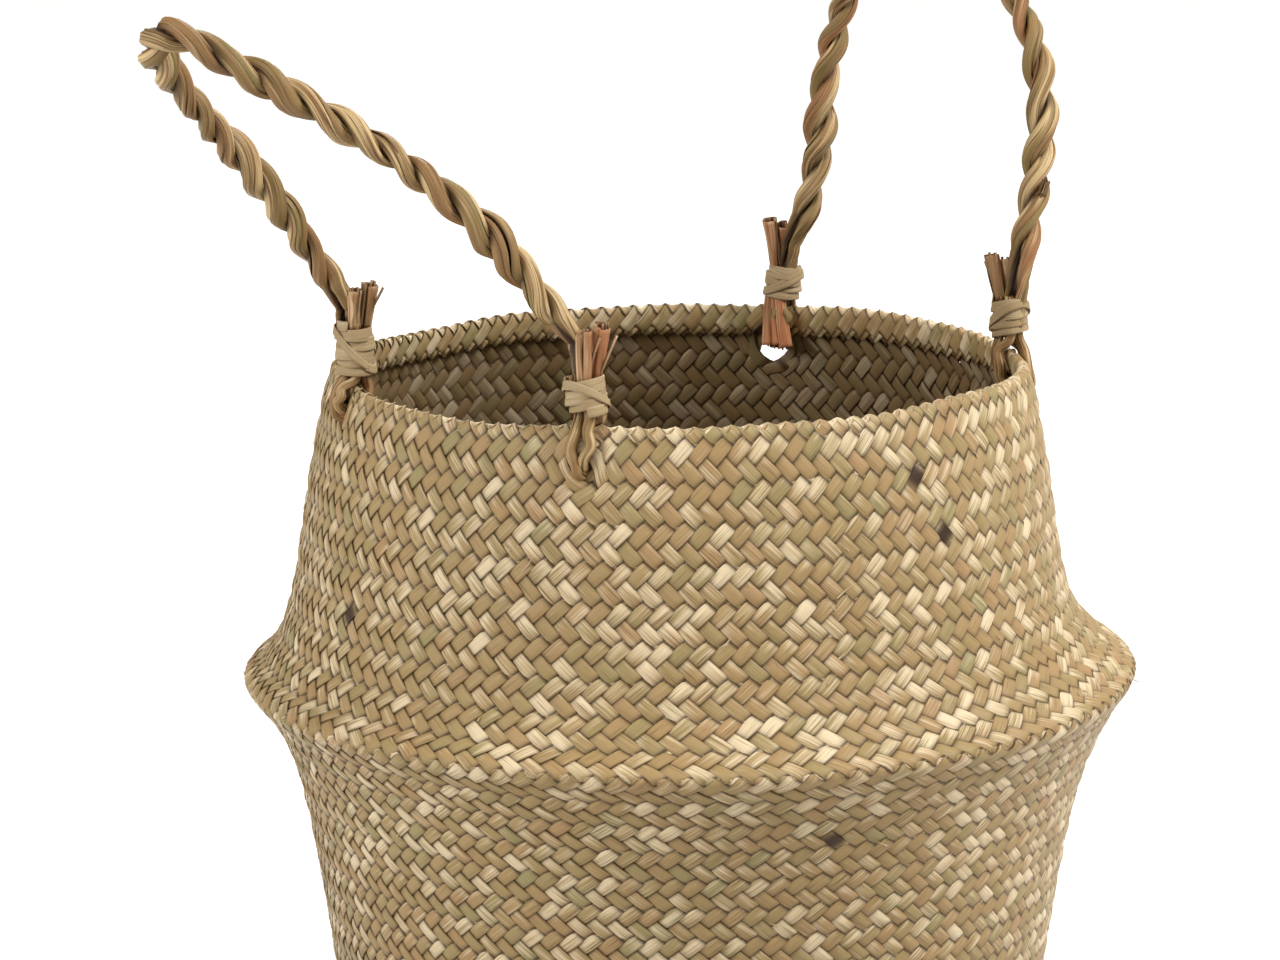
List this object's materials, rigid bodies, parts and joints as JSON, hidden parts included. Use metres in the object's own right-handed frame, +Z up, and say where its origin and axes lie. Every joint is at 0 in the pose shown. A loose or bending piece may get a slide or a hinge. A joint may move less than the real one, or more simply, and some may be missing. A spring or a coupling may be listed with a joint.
{
  "type": "seagrass storage basket",
  "caption": "Round belly basket of diagonally woven flat seagrass, with a folded ridge round its middle and a pair of twisted rope handles laced through the rim",
  "frame": {"origin": "centre of the base's underside, where the basket rests on the floor", "axes": "+Z is up through the mouth; the near handle's rope is anchored on the -X side and the far handle's on the +X side; +Y runs along both handles' hinge axes"},
  "size_m": [0.4269, 0.36, 0.4581],
  "materials": {
    "woven_seagrass": "dry flat seagrass strips in a diagonal twill, satin along the fibres",
    "twisted_rope": "dry creased seagrass stalks twisted into a two-ply rope",
    "lashing_strip": "pale smooth split seagrass strip, tightly wound"
  },
  "bodies": {
    "basket": {"base_mat": "woven_seagrass", "lower_wall": "woven_seagrass", "belly_swell": "woven_seagrass", "belly_shoulder": "woven_seagrass", "upper_wall": "woven_seagrass", "rim_fold": "woven_seagrass", "inner_hem": "woven_seagrass", "near_left_lacing_a": "twisted_rope", "near_left_lacing_b": "twisted_rope", "near_right_lacing_a": "twisted_rope", "near_right_lacing_b": "twisted_rope", "far_left_lacing_a": "twisted_rope", "far_left_lacing_b": "twisted_rope", "far_right_lacing_a": "twisted_rope", "far_right_lacing_b": "twisted_rope", "near_left_lashing": "lashing_strip", "near_right_lashing": "lashing_strip", "far_left_lashing": "lashing_strip", "far_right_lashing": "lashing_strip"},
    "near_handle": {"near_handle_ply_a": "twisted_rope", "near_handle_ply_b": "twisted_rope"},
    "far_handle": {"far_handle_ply_a": "twisted_rope", "far_handle_ply_b": "twisted_rope"}
  },
  "joints": [
    {"name": "near_handle_swing", "type": "hinge", "parent": "basket", "child": "near_handle", "pos_m": [-0.12314, 0, 0.2909], "axis": [0, -1, 0], "range_deg": [-86, 52]},
    {"name": "far_handle_swing", "type": "hinge", "parent": "basket", "child": "far_handle", "pos_m": [0.11836, -0.01579, 0.2909], "axis": [0.1323, 0.9912, 0], "range_deg": [-50, 75]}
  ]
}
